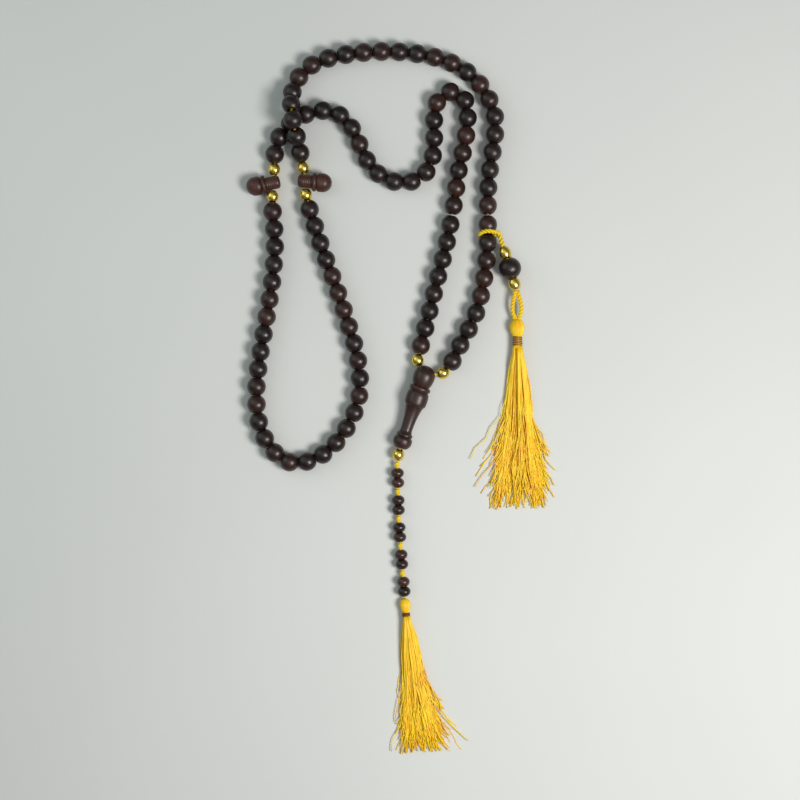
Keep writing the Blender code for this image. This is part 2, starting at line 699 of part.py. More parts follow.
def centre_on_origin():
    """Moves everything so that the origin is under the middle of the bounding box, at its lowest point."""
    bpy.context.view_layer.update()
    graph = bpy.context.evaluated_depsgraph_get()
    corners = []
    nodes = [obj for obj in bpy.data.objects if obj.type in ("MESH", "CURVE")]
    for obj in nodes:
        if not obj.hide_render:
            seen = obj.evaluated_get(graph)
            corners += [seen.matrix_world @ vertex.co for vertex in seen.to_mesh().vertices]
            seen.to_mesh_clear()
    corners = np.array(corners)
    low, high = corners.min(axis=0), corners.max(axis=0)
    shift = Vector(((low[0] + high[0]) / 2, (low[1] + high[1]) / 2, low[2]))
    for obj in nodes:
        obj.location -= shift
    return shift


def joint_places(inner, outer, middle, tail, marker):
    """A point on each moving body's joint axis, in millimetres."""
    return {
        "strand": Vector((0, 0, 0)),
        "middle_loop": Vector(middle.route.at(gold_at_divider())),
        "imame_loop": Vector(inner.pivot()),
        "imame": Vector(inner.route.at(inner.golds[-1])),
        "tail": Vector(tail.pivot()),
        "tail_tassel": Vector(tail.route.at(tail.swing)),
        "marker": marker.swing,
        "marker_beads": marker.along(marker.bead),
        "marker_tassel": marker.along(marker.eye),
    }


def build():
    clear_scene()
    inner_route, outer_route, middle_route = strand_routes()
    inner = Third("inner", inner_route, gold_at_imame(), FOLDING_INNER)
    outer = Third("outer", outer_route, gold_at_imame(RIGHT_SLACK), FOLDING_OUTER)
    middle = Third("middle", middle_route, gold_at_divider())
    tail, marker = Tail(), Marker(outer)
    pivots = joint_places(inner, outer, middle, tail, marker)
    make_strand(inner, outer, middle, pivots)
    make_divider("divider_left", inner.route, 0.0, -1, LEFT_KNOB_TILT)
    make_divider("divider_right", outer.route, 0.0, 1, RIGHT_KNOB_TILT)
    make_imame(inner, outer, pivots["imame"])
    make_tail(tail, pivots)
    make_marker(marker, pivots)
    shift = centre_on_origin()
    return inner, outer, middle, tail, marker, pivots, shift


build()
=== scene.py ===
"""The looks of a misbaha on a table: turned wooden beads, gold beads, cords, knots and silk tassels.

Sizes are in millimetres, as a bead maker gives them, and become metres where a mesh is made.
"""

import json
import math
import random

import bmesh
import bpy
import numpy as np
from mathutils import Matrix, Vector


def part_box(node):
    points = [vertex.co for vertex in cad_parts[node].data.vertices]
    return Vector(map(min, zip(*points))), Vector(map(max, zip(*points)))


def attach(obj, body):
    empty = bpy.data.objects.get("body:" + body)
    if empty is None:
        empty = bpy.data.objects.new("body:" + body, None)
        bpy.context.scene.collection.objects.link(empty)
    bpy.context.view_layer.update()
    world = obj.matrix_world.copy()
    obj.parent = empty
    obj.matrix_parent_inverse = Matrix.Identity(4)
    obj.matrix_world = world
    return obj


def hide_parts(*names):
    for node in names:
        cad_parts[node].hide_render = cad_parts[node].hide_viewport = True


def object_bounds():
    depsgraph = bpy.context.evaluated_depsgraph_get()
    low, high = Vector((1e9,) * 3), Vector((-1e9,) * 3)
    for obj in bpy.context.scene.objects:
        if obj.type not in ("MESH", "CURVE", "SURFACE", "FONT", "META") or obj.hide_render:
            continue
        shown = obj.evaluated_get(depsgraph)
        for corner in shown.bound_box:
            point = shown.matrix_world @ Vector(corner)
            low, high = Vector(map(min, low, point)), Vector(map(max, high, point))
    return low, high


bl_info = {
    "name": "Misbaha",
    "version": (1, 0, 0),
    "blender": (4, 5, 0),
    "location": "3D View > Sidebar > Misbaha",
    "description": "Makes the beads, cords and tassels of a misbaha on its packed frame",
    "category": "Add Mesh",
}

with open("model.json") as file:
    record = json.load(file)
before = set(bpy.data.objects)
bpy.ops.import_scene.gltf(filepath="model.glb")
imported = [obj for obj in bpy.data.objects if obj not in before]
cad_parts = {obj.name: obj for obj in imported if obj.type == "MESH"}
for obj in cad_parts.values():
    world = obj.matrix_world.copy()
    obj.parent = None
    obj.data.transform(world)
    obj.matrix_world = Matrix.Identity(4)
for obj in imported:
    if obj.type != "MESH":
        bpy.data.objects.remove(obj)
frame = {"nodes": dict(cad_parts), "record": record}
CAD_BOX = [list(corner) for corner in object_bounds()]
MM = 0.001
GAP = 0.3
# How far a bead stays short of its neighbour.
SEAM = 0.02
# A full turn, near enough for a random angle.
TURN = 6.28

# The strand's route on the table, third by third, as the frame has it.
LEFT_DIVIDER = (-47.3, 111.0)
RIGHT_DIVIDER = (-33.7, 111.7)
IMAME_BALL_CENTRE = (16.5, 29.4)
IMAME_FOOT_END = (6.7, 0.0)
INNER_ROUTE = [
    LEFT_DIVIDER, (-46.6, 118.0), (-46.4, 124.0), (-44.2, 131.0), (-39.0, 136.8), (-32.0, 140.4),
    (-24.6, 141.4), (-17.6, 138.6), (-12.6, 131.6), (-9.0, 123.0), (-4.0, 115.7), (4.5, 111.4),
    (13.0, 112.2), (18.6, 117.4), (20.6, 126.0), (20.6, 137.0), (22.4, 145.8), (28.0, 149.4),
    (33.6, 145.8), (34.8, 137.0), (33.2, 126.0), (31.0, 116.0), (29.0, 101.7), (26.0, 85.7),
    (22.0, 70.0), (18.3, 55.0), (15.4, 43.6), (13.8, 36.2), IMAME_BALL_CENTRE,
]
OUTER_ROUTE = [
    RIGHT_DIVIDER, (-34.6, 118.0), (-36.4, 127.0), (-38.6, 138.0), (-39.0, 148.6), (-34.4, 158.0),
    (-24.4, 163.4), (-11.0, 165.8), (2.0, 166.4), (15.0, 165.2), (28.0, 161.6), (38.0, 154.8),
    (44.2, 145.6), (46.6, 136.4), (45.4, 125.0), (43.8, 113.0), (43.3, 102.0), (43.3, 88.0),
    (42.0, 72.3), (38.6, 56.8), (31.8, 42.8), (24.8, 31.0), IMAME_BALL_CENTRE,
]
MIDDLE_ROUTE = [
    LEFT_DIVIDER, (-47.4, 105.0), (-47.4, 99.0), (-46.4, 86.0), (-47.6, 69.6), (-50.0, 54.0),
    (-52.6, 39.0), (-54.2, 24.6), (-53.4, 11.0), (-49.4, 1.0), (-42.0, -6.2), (-32.4, -6.4),
    (-24.4, -2.2), (-16.8, 6.6), (-11.0, 20.4), (-11.4, 36.0), (-15.4, 51.0), (-20.6, 67.0),
    (-26.4, 83.0), (-31.4, 98.6), (-33.2, 105.0), RIGHT_DIVIDER,
]
TAIL_BENDS = [(-1.2, -5.0), (-1.0, -14.0), (-0.6, -30.0), (0.4, -45.0), (1.8, -62.0), (3.4, -80.0)]
BEADS_IN_THIRD = 33
MOST_IN_RUN = 6
FOLDING = {"inner": 8, "outer": 9, "middle": 0}
# How wide a tassel's skirt is, as shares of its full width, by the share of its length.
SKIRT_SHAPE = [(0.0, 0.14), (0.12, 0.3), (0.35, 0.41), (0.62, 0.46), (0.85, 0.74), (1.0, 0.95)]
LOCKS = 20
PIVOT_SLACK = 0.6
RIGHT_SLACK = 0.8
# How far the hump at the strand's crossing reaches each way, in bead diameters.
HUMP_REACH = 2.1
DRUM_DIAMETER = 5.8
BALL_DIAMETER = 9.2
BALL_HEIGHT = 5.17
FOOT_HEIGHT = 4.15
# How far above the imame's foot its own cord starts, and where it runs straight.
CORD_LEADS = (27.2, 4.0)
KNOT_LENGTH = 2.2
KNOT_TURNS = 2.6
COUNTER_LENGTH = 4.1
COUNTER_SLIDE = 0.4
COUNTER_PAIRS = 5
# The holes of the gold beads on the strand and tail, and of those on the marker's rope.
NARROW_BORE, WIDE_BORE = 1.7, 2.56
# The marker bead's length, diameter and hole.
MARKER_BEAD = (8.6, 9.6, 2.6)
RING_RADIUS = 3.5
# Half the angle that the marker's ring leaves open for its neck.
RING_OPENING = 0.75
EYE_START, EYE_LENGTH = 0.45, 12.05
SHARP_ANGLE = 40.0


# Settings


class MisbahaWood(bpy.types.PropertyGroup):
    bead: bpy.props.FloatProperty(
        name="Bead", description="Diameter of a strand bead", default=8.0, min=4.0
    )
    bore: bpy.props.FloatProperty(
        name="Bore", description="Hole through a strand bead", default=2.0, min=0.5
    )
    imame: bpy.props.FloatProperty(
        name="Imame", description="Length of the imame", default=36.6, min=20.0
    )
    counter: bpy.props.FloatProperty(
        name="Counter", description="Diameter of a counter", default=5.5, min=2.0
    )
    dark: bpy.props.FloatVectorProperty(
        name="Dark", description="Darkest tone of the beads",
        subtype="COLOR", default=(0.003, 0.0021, 0.0023),
    )
    brown: bpy.props.FloatVectorProperty(
        name="Brown", description="Lighter grain of the beads",
        subtype="COLOR", default=(0.0115, 0.0058, 0.0052),
    )
    red: bpy.props.FloatVectorProperty(
        name="Red", description="Reddish tone of dividers and counters",
        subtype="COLOR", default=(0.06, 0.0185, 0.0125),
    )


class MisbahaMetal(bpy.types.PropertyGroup):
    gold: bpy.props.FloatProperty(
        name="Gold bead", description="Diameter of a gold bead", default=5.0, min=1.0
    )
    colour: bpy.props.FloatVectorProperty(
        name="Gold", description="Colour of the gold beads",
        subtype="COLOR", default=(0.93, 0.69, 0.15),
    )


class MisbahaSilk(bpy.types.PropertyGroup):
    cord: bpy.props.FloatProperty(
        name="Cord", description="Thickness of the tail's cord", default=1.2, min=0.3
    )
    rope: bpy.props.FloatProperty(
        name="Rope", description="Thickness of the marker's rope", default=1.9, min=0.3
    )
    thread: bpy.props.FloatProperty(
        name="Thread", description="Thickness of a tassel's thread", default=0.38, min=0.1
    )
    threads: bpy.props.IntProperty(
        name="Threads", description="Threads in a tassel's skirt", default=400, min=10
    )
    yellow: bpy.props.FloatVectorProperty(
        name="Yellow", description="Lit colour of the silk",
        subtype="COLOR", default=(1.0, 0.72, 0.006),
    )
    # Orange is partly painted shade: it is the colour the silk shows in shade, mixed in at random
    # thread by thread along with the threads' own tone.
    orange: bpy.props.FloatVectorProperty(
        name="Orange", description="Deeper colour of the silk",
        subtype="COLOR", default=(0.95, 0.42, 0.002),
    )
    copper: bpy.props.FloatVectorProperty(
        name="Copper", description="Colour of the bindings",
        subtype="COLOR", default=(0.2, 0.038, 0.012),
    )


# Routes


def catmull_rom(points, steps=16):
    """Points of a centripetal curve through the given points."""
    given = np.array(points, float)
    given = np.vstack([2 * given[0] - given[1], given, 2 * given[-1] - given[-2]])
    made = []
    for p0, p1, p2, p3 in zip(given, given[1:], given[2:], given[3:]):
        t1 = np.linalg.norm(p1 - p0) ** 0.5
        t2 = t1 + np.linalg.norm(p2 - p1) ** 0.5
        t3 = t2 + np.linalg.norm(p3 - p2) ** 0.5
        for t in np.linspace(t1, t2, steps, endpoint=False):
            a1 = p0 + (p1 - p0) * t / t1
            a2 = p1 + (p2 - p1) * (t - t1) / (t2 - t1)
            a3 = p2 + (p3 - p2) * (t - t2) / (t3 - t2)
            b1 = a1 + (a2 - a1) * t / t2
            b2 = a2 + (a3 - a2) * (t - t1) / (t3 - t1)
            made.append(b1 + (b2 - b1) * (t - t1) / (t2 - t1))
    made.append(given[-2])
    return np.array(made)


class Route:
    """A smooth path that is read by the distance along it."""

    def __init__(self, points):
        self.points = np.array(points, float)
        steps = np.linalg.norm(np.diff(self.points, axis=0), axis=1)
        self.marks = np.concatenate([[0.0], np.cumsum(steps)])
        self.length = self.marks[-1]

    def at(self, s):
        return Vector([float(np.interp(s, self.marks, column)) for column in self.points.T])

    def heading(self, s, reach=0.4):
        return (self.at(min(s + reach, self.length)) - self.at(max(s - reach, 0.0))).normalized()

    def frame(self, s):
        return frame_along(self.at(s), self.heading(s))


def frame_along(place, heading):
    """A matrix at the place with Z along the heading and X level."""
    z = Vector(heading).normalized()
    up = Vector((0, 0, 1)) if abs(z.z) < 0.95 else Vector((0, 1, 0))
    x = z.cross(up).normalized()
    turned = Matrix((x, z.cross(x), z)).transposed().to_4x4()
    return Matrix.Translation(Vector(place)) @ turned


def moved(points, shift):
    return [(x - shift.x, y - shift.y, z - shift.z) for x, y, z in points]


def lifted_over(route, other, diameter):
    """The route with the hump that carries it over the other strand."""
    a = route.points[: len(route.points) // 3, :2]
    b = other.points[: len(other.points) // 3, :2]
    apart = np.linalg.norm(a[:, None] - b[None], axis=2)
    crossing = route.marks[np.unravel_index(apart.argmin(), apart.shape)[0]]
    near = np.clip(np.abs(route.marks - crossing) / (HUMP_REACH * diameter), 0, 1)
    points = route.points.copy()
    points[:, 2] += (diameter + 2 * GAP) * 0.5 * (1 + np.cos(math.pi * near))
    return Route(points)


class Layout:
    """Where every piece lies, worked out as the frame was."""

    def __init__(self):
        scene = bpy.context.scene
        self.bead, self.gold = scene.misbaha_wood.bead, scene.misbaha_metal.gold
        height = self.bead / 2
        drawn = (INNER_ROUTE, OUTER_ROUTE, MIDDLE_ROUTE)
        routes = [Route(catmull_rom([(x, y, height) for x, y in points])) for points in drawn]
        gold_low, gold_high = (Vector(corner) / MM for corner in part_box("gold_left_upper"))
        self.shift = routes[0].at(self.at_divider()) - (gold_low + gold_high) / 2
        routes[1] = lifted_over(routes[1], routes[0], self.bead)
        self.inner, self.outer, self.middle = (Route(moved(r.points, self.shift)) for r in routes)
        self.thirds = {
            "inner": self.third(self.inner, 0.0, FOLDING["inner"]),
            "outer": self.third(self.outer, RIGHT_SLACK, FOLDING["outer"]),
            "middle": self.third(self.middle, None, 0),
        }

    def at_divider(self):
        return DRUM_DIAMETER / 2 + GAP + self.gold / 2

    def at_imame(self, slack):
        return BALL_DIAMETER / 2 + GAP + slack + self.gold / 2

    def third(self, route, slack, folding):
        """(pitch, places along the route) of one third's beads."""
        first = DRUM_DIAMETER / 2 + GAP + self.gold + GAP / 2
        room = first if slack is None else BALL_DIAMETER / 2 + GAP + slack + self.gold + GAP / 2
        extra = PIVOT_SLACK if folding else 0.0
        pitch = (route.length - room - first - extra) / BEADS_IN_THIRD
        places = [first + pitch * (i + 0.5) for i in range(BEADS_IN_THIRD)]
        for i in range(BEADS_IN_THIRD - folding, BEADS_IN_THIRD):
            places[i] += extra
        return pitch, places

    def runs(self, name):
        """The numbers of the beads in each of a third's runs."""
        fixed = BEADS_IN_THIRD - FOLDING[name]
        found = []
        for start, end in ((0, fixed), (fixed, BEADS_IN_THIRD)):
            count = math.ceil((end - start) / MOST_IN_RUN)
            edges = [start + round((end - start) * i / max(count, 1)) for i in range(count + 1)]
            found += list(zip(edges, edges[1:]))
        return found

    def imame(self):
        """The middle of the imame's ball and the end of its foot."""
        ball = Vector((*IMAME_BALL_CENTRE, BALL_HEIGHT)) - self.shift
        foot_end = Vector((*IMAME_FOOT_END, BALL_HEIGHT)) - self.shift
        aim = (foot_end - ball).normalized()
        foot = ball + aim * (bpy.context.scene.misbaha_wood.imame - BALL_DIAMETER / 2)
        foot.z = FOOT_HEIGHT - self.shift.z
        return ball, foot

    def tail(self):
        """The tail's route, and the place of each piece along it, by name."""
        ball, foot = self.imame()
        axis = (foot - ball).normalized()
        low = bpy.context.scene.misbaha_wood.counter / 2 - self.shift.z
        bends = [(foot.x + x, foot.y + y, low) for x, y in TAIL_BENDS]
        bends[0] = (*bends[0][:2], (foot.z + low) / 2)
        lead = [foot - axis * up for up in CORD_LEADS]
        route = Route(catmull_rom([*lead, foot, *bends]))
        s = route.marks[np.linalg.norm(route.points - np.array(foot), axis=1).argmin()] + GAP
        places = {"gold": s + self.gold / 2, "knots": [], "counters": []}
        s += self.gold + 2 * GAP
        for _ in range(COUNTER_PAIRS):
            places["knots"].append(s + KNOT_LENGTH / 2)
            s += KNOT_LENGTH + GAP / 2 + COUNTER_SLIDE
            places["counters"] += [s + COUNTER_LENGTH / 2, s + 1.5 * COUNTER_LENGTH]
            s += 2 * COUNTER_LENGTH + GAP / 2 + COUNTER_SLIDE
        places["swing"] = s + GAP
        places["head"] = s + 2 * GAP
        return route, places


# Making pieces


def body_of(node):
    bodies = frame["record"]["behaviour"]["bodies"]
    return next(name for name, nodes in bodies.items() if node in nodes)


def linked(name, data):
    """A new object in the scene."""
    obj = bpy.data.objects.new(name, data)
    bpy.context.scene.collection.objects.link(obj)
    return obj


def mesh_of(bm, name):
    mesh = bpy.data.meshes.new(name)
    bm.to_mesh(mesh)
    bm.free()
    return mesh


def turned_mesh(profile, steps, closed=False):
    """A mesh in millimetres spun round Z from (height, radius) pairs."""
    bm = bmesh.new()
    verts = [bm.verts.new((r, 0, z)) for z, r in profile]
    pairs = list(zip(verts, verts[1:] + verts[:1])) if closed else list(zip(verts, verts[1:]))
    edges = [bm.edges.new(pair) for pair in pairs]
    bmesh.ops.spin(
        bm, geom=verts + edges, cent=(0, 0, 0), axis=(0, 0, 1),
        angle=2 * math.pi, steps=steps, use_merge=True,
    )
    bmesh.ops.remove_doubles(bm, verts=bm.verts, dist=1e-4)
    bmesh.ops.recalc_face_normals(bm, faces=bm.faces)
    return mesh_of(bm, "turned")


class Piece:
    """A mesh piece that copies are added to, with each copy's own grain and tone."""

    def __init__(self, name):
        self.name = name
        self.bm = bmesh.new()
        self.grain = self.bm.verts.layers.float_vector.new("grain")
        self.tone = self.bm.verts.layers.float.new("tone")

    def add(self, mesh, place, tone=0.5, seed=0.0):
        before = len(self.bm.verts)
        self.bm.from_mesh(mesh)
        self.bm.verts.ensure_lookup_table()
        new = self.bm.verts[before:]
        offset = Vector((seed * 17.3 % 91, seed * 7.9 % 57, seed * 29.1 % 73))
        for vert in new:
            vert[self.grain] = vert.co + offset
            vert[self.tone] = tone
        bmesh.ops.transform(self.bm, matrix=Matrix.Scale(MM, 4) @ place, verts=new)

    def finish(self, finish, node):
        mesh = mesh_of(self.bm, self.name)
        mesh.polygons.foreach_set("use_smooth", [True] * len(mesh.polygons))
        mesh.set_sharp_from_angle(angle=math.radians(SHARP_ANGLE))
        show(self.name, mesh, finish, node)


def show(name, mesh, finish, node, in_place=True):
    """The mesh as an object that rides where the node does, in its place unless told otherwise."""
    mesh.materials.clear()
    mesh.materials.append(Palette.get(finish))
    obj = linked(name, mesh)
    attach(obj, body_of(node))
    if in_place:
        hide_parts(node)
    return obj


def add_threads(name, lines, radius, finish, node, sides=1, tones=(0.0, 1.0), in_place=True):
    """Round threads along lines of points in millimetres, as one piece.

    Each thread's tone is between the two given.
    """
    curve = bpy.data.curves.new(name, "CURVE")
    curve.dimensions = "3D"
    curve.bevel_depth = radius * MM
    curve.bevel_resolution = sides
    curve.use_fill_caps = True
    for points in lines:
        spline = curve.splines.new("POLY")
        spline.points.add(len(points) - 1)
        for made, place in zip(spline.points, points):
            made.co = (*(Vector(place) * MM), 1.0)
    holder = linked(name, curve)
    bpy.context.view_layer.update()
    evaluated = holder.evaluated_get(bpy.context.evaluated_depsgraph_get())
    mesh = bpy.data.meshes.new_from_object(evaluated)
    bpy.data.objects.remove(holder)
    bpy.data.curves.remove(curve)
    add_thread_tones(mesh, lines, tones)
    bm = bmesh.new()
    bm.from_mesh(mesh)
    bmesh.ops.remove_doubles(bm, verts=bm.verts, dist=1e-7)
    bm.to_mesh(mesh)
    bm.free()
    mesh.polygons.foreach_set("use_smooth", [True] * len(mesh.polygons))
    mesh.name = name
    return show(name, mesh, finish, node, in_place)


def add_thread_tones(mesh, lines, tones):
    """Gives every thread its tone.

    The mesh lists the threads in order, with a ring of corners for each of their points.
    """
    sides = round(len(mesh.vertices) / sum(len(points) for points in lines))
    chance = random.Random(len(lines))
    values = []
    for points in lines:
        values += [chance.uniform(*tones)] * (sides * len(points))
    values += [tones[1]] * max(len(mesh.vertices) - len(values), 0)
    layer = mesh.attributes.new("tone", "FLOAT", "POINT")
    layer.data.foreach_set("value", values[: len(mesh.vertices)])


def carried_frames(points):
    """A frame at each point whose sides turn as little as they can along the line."""
    points = [Vector(p) for p in points]
    frames, side = [], None
    for i, place in enumerate(points):
        heading = (points[min(i + 1, len(points) - 1)] - points[max(i - 1, 0)]).normalized()
        if side is None:
            side = heading.cross(Vector((0, 0, 1)) if abs(heading.z) < 0.9 else Vector((0, 1, 0)))
        side = (side - heading * side.dot(heading)).normalized()
        frames.append((place, side, heading.cross(side)))
    return frames


def twisted(points, strands, radius, lay, start=0.0):
    """Lines of a rope's strands round the points, a full turn every lay millimetres."""
    route = Route(points)
    count = max(int(route.length / lay * 10), 4)
    frames = carried_frames([route.at(s) for s in np.linspace(0, route.length, count)])
    lines = []
    for k in range(strands):
        line = []
        for i, (place, side, up) in enumerate(frames):
            angle = start + 2 * math.pi * (k / strands + route.length * i / (count - 1) / lay)
            line.append(place + (side * math.cos(angle) + up * math.sin(angle)) * radius)
        lines.append(line)
    return lines


# Materials


def new_material(name):
    made = bpy.data.materials.new(name)
    made.use_nodes = True
    return made, made.node_tree, made.node_tree.nodes["Principled BSDF"]


def set_inputs(node, values):
    for name, value in values.items():
        node.inputs[name].default_value = value


def ramp(tree, source, stops):
    """A colour ramp fed by source, with (position, colour) stops."""
    node = tree.nodes.new("ShaderNodeValToRGB")
    tree.links.new(source, node.inputs["Fac"])
    elements = node.color_ramp.elements
    while len(elements) < len(stops):
        elements.new(0.5)
    for element, (position, colour) in zip(elements, stops):
        element.position = position
        element.color = (*colour, 1.0)
    return node.outputs["Color"]


def noise(tree, vector, scale, detail=4.0, rough=0.6, distortion=0.0):
    node = tree.nodes.new("ShaderNodeTexNoise")
    set_inputs(node, {"Scale": scale, "Detail": detail, "Roughness": rough, "Distortion": distortion})
    tree.links.new(vector, node.inputs["Vector"])
    return node.outputs["Fac"]


def stretched(tree, vector, scale):
    node = tree.nodes.new("ShaderNodeMapping")
    set_inputs(node, {"Scale": scale})
    tree.links.new(vector, node.inputs["Vector"])
    return node.outputs["Vector"]


def attribute(tree, name):
    node = tree.nodes.new("ShaderNodeAttribute")
    node.attribute_name = name
    return node


def maths(tree, operation, one, other):
    node = tree.nodes.new("ShaderNodeMath")
    node.operation = operation
    for socket, value in zip(node.inputs, (one, other)):
        if isinstance(value, float):
            socket.default_value = value
        else:
            tree.links.new(value, socket)
    return node.outputs["Value"]


def mixed(tree, factor, one, other, blend="MIX"):
    node = tree.nodes.new("ShaderNodeMix")
    node.data_type = "RGBA"
    node.blend_type = blend
    for socket, value in ((node.inputs[0], factor), (node.inputs[6], one), (node.inputs[7], other)):
        if isinstance(value, (float, int)):
            socket.default_value = value
        elif isinstance(value, tuple):
            socket.default_value = (*value, 1.0)
        else:
            tree.links.new(value, socket)
    return node.outputs[2]


def bump(tree, shader, height, strength, distance):
    node = tree.nodes.new("ShaderNodeBump")
    set_inputs(node, {"Strength": strength, "Distance": distance * MM})
    tree.links.new(height, node.inputs["Height"])
    tree.links.new(node.outputs["Normal"], shader.inputs["Normal"])


def scaled(colour, share):
    return tuple(share * c for c in colour)


def turned_wood(name, dark, brown, tinted, gloss, ridges=0.0):
    """Dark turned wood: long grain, pores, a tone for each bead and a worn polish.

    ridges is how strongly the lathe's marks show.
    """
    made, tree, shader = new_material(name)
    grain = attribute(tree, "grain").outputs["Vector"]
    tone = attribute(tree, "tone").outputs["Fac"]
    along = stretched(tree, grain, (1.0, 1.0, 0.16))
    long_grain = noise(tree, along, 0.95, 5.0, 0.65, 0.7)
    thin = stretched(tree, grain, (1.0, 1.0, 0.1))
    streaks = noise(tree, thin, 4.2, 3.0, 0.7, 0.3)
    blotches = noise(tree, grain, 0.22, 2.0, 0.5)
    figure = maths(tree, "MULTIPLY_ADD", long_grain, 0.62)
    figure_node = tree.nodes[-1]
    tree.links.new(maths(tree, "MULTIPLY", streaks, 0.38), figure_node.inputs[2])
    base = ramp(tree, figure, [(0.36, dark), (0.54, brown), (0.68, scaled(brown, 2.6))])
    warm = maths(tree, "MULTIPLY", tone, blotches)
    colour = mixed(tree, maths(tree, "MULTIPLY", warm, 1.2), base, tinted)
    pores = noise(tree, stretched(tree, grain, (1.0, 1.0, 0.22)), 9.0, 2.0, 0.6)
    holes = ramp(tree, pores, [(0.3, (0.25, 0.25, 0.25)), (0.42, (1.0, 1.0, 1.0))])
    tree.links.new(mixed(tree, 0.7, colour, holes, "MULTIPLY"), shader.inputs["Base Color"])
    wear = ramp(tree, blotches, [(0.3, (gloss,) * 3), (0.75, (gloss + 0.14,) * 3)])
    tree.links.new(wear, shader.inputs["Roughness"])
    set_inputs(shader, {"Specular IOR Level": 0.42, "Coat Weight": 0.12, "Coat Roughness": 0.22})
    height = pores
    if ridges:
        rings = noise(tree, stretched(tree, grain, (0.02, 0.02, 1.0)), 3.4, 2.0, 0.6)
        height = maths(tree, "MULTIPLY_ADD", rings, ridges)
        tree.links.new(pores, tree.nodes[-1].inputs[2])
    bump(tree, shader, height, 0.35, 0.12)
    return made


def gold_plate(name, colour):
    """Rubbed gold plating with fine scratches."""
    made, tree, shader = new_material(name)
    grain = attribute(tree, "grain").outputs["Vector"]
    rubbed = noise(tree, grain, 1.4, 4.0, 0.6)
    scratches = noise(tree, stretched(tree, grain, (1.0, 6.0, 0.4)), 5.0, 3.0, 0.7)
    plate = ramp(tree, rubbed, [(0.35, scaled(colour, 0.72)), (0.6, colour)])
    tree.links.new(plate, shader.inputs["Base Color"])
    set_inputs(shader, {"Metallic": 1.0, "Specular Tint": (1.0, 0.9, 0.5, 1.0)})
    dull = ramp(tree, scratches, [(0.3, (0.16,) * 3), (0.8, (0.34,) * 3)])
    tree.links.new(dull, shader.inputs["Roughness"])
    bump(tree, shader, scratches, 0.15, 0.05)
    return made


def silk(name, bright, deep_and_shade, fibre=6.0, rough=0.4):
    """Twisted silk or rayon: a tone for each thread, fine fibres and a soft sheen. Each thread's tone
    runs from the bright lit colour towards the deep colour, which is partly painted shade.
    """
    made, tree, shader = new_material(name)
    tone = attribute(tree, "tone").outputs["Fac"]
    coords = tree.nodes.new("ShaderNodeTexCoord").outputs["Object"]
    fine = noise(tree, coords, fibre / MM * 0.4, 3.0, 0.7)
    broad = noise(tree, coords, 0.25 / MM, 2.0, 0.5)
    share = maths(tree, "MULTIPLY_ADD", tone, 0.5)
    tree.links.new(maths(tree, "MULTIPLY", broad, 0.5), tree.nodes[-2].inputs[2])
    # Partly the threads' own tone, partly painted shade: threads and broad random patches lean from the
    # lit colour towards the deep, shaded colour.
    base = ramp(tree, share, [(0.2, deep_and_shade), (0.62, bright)])
    shade = ramp(tree, fine, [(0.3, (0.72,) * 3), (0.65, (1.0,) * 3)])
    tree.links.new(mixed(tree, 0.8, base, shade, "MULTIPLY"), shader.inputs["Base Color"])
    sheen = {"Sheen Weight": 0.12, "Sheen Roughness": 0.4, "Sheen Tint": (1.0, 0.75, 0.2, 1.0)}
    under = {
        "Subsurface Weight": 0.08,
        "Subsurface Radius": (0.8, 0.4, 0.05),
        "Subsurface Scale": 0.4 * MM,
    }
    set_inputs(shader, {"Roughness": rough, **sheen, **under})
    bump(tree, shader, fine, 0.4, 0.08)
    return made


class Palette:
    """Every finish, made once."""

    made = {}

    @classmethod
    def get(cls, name):
        if name not in cls.made:
            scene = bpy.context.scene
            wood, thread = scene.misbaha_wood, scene.misbaha_silk
            dark, brown, red = tuple(wood.dark), tuple(wood.brown), tuple(wood.red)
            yellow, orange, copper = tuple(thread.yellow), tuple(thread.orange), tuple(thread.copper)
            makers = {
                "bead_wood": (turned_wood, dark, brown, scaled(red, 0.75), 0.26),
                "divider_wood": (
                    turned_wood, scaled(red, 0.1), scaled(red, 0.6), scaled(red, 1.3), 0.34, 1.2,
                ),
                "imame_wood": (turned_wood, dark, scaled(brown, 1.3), red, 0.32, 0.9),
                "counter_wood": (turned_wood, dark, scaled(brown, 1.6), scaled(red, 1.3), 0.2),
                "gold_plate": (gold_plate, tuple(scene.misbaha_metal.colour)),
                # Each silk's second colour is its deep end, partly painted shade: the colour the silk
                # shows in shade, or a darker, shaded copy of its lit colour.
                "silk_thread": (silk, yellow, orange),
                "cord_thread": (silk, scaled(yellow, 0.85), orange, 7.0, 0.6),
                "strand_thread": (silk, yellow, scaled(yellow, 0.7), 7.0, 0.6),
                "copper_thread": (silk, copper, scaled(copper, 0.6), 7.0, 0.42),
            }
            maker, *looks = makers[name]
            cls.made[name] = maker(name, *looks)
        return cls.made[name]


# Shapes


def bead_profile(length, diameter, bore, ends=0.43):
    """A closed outline: the bore, a small flat round it, and the bead's round side."""
    half, radius, hole = length / 2, diameter / 2, bore / 2
    flat = max(ends * radius, hole + 0.25)
    semi = half / math.sqrt(1 - (flat / radius) ** 2)
    angles = np.linspace(-math.asin(half / semi), math.asin(half / semi), 15)
    side = [(semi * math.sin(a), radius * math.cos(a)) for a in angles]
    mouth = [(half - 0.05, hole + 0.14), (half - 0.25, hole)]
    return [*((-z, r) for z, r in reversed(mouth)), *side, *mouth]


def smooth_profile(points, steps=4):
    return [tuple(p) for p in catmull_rom(points, steps)]


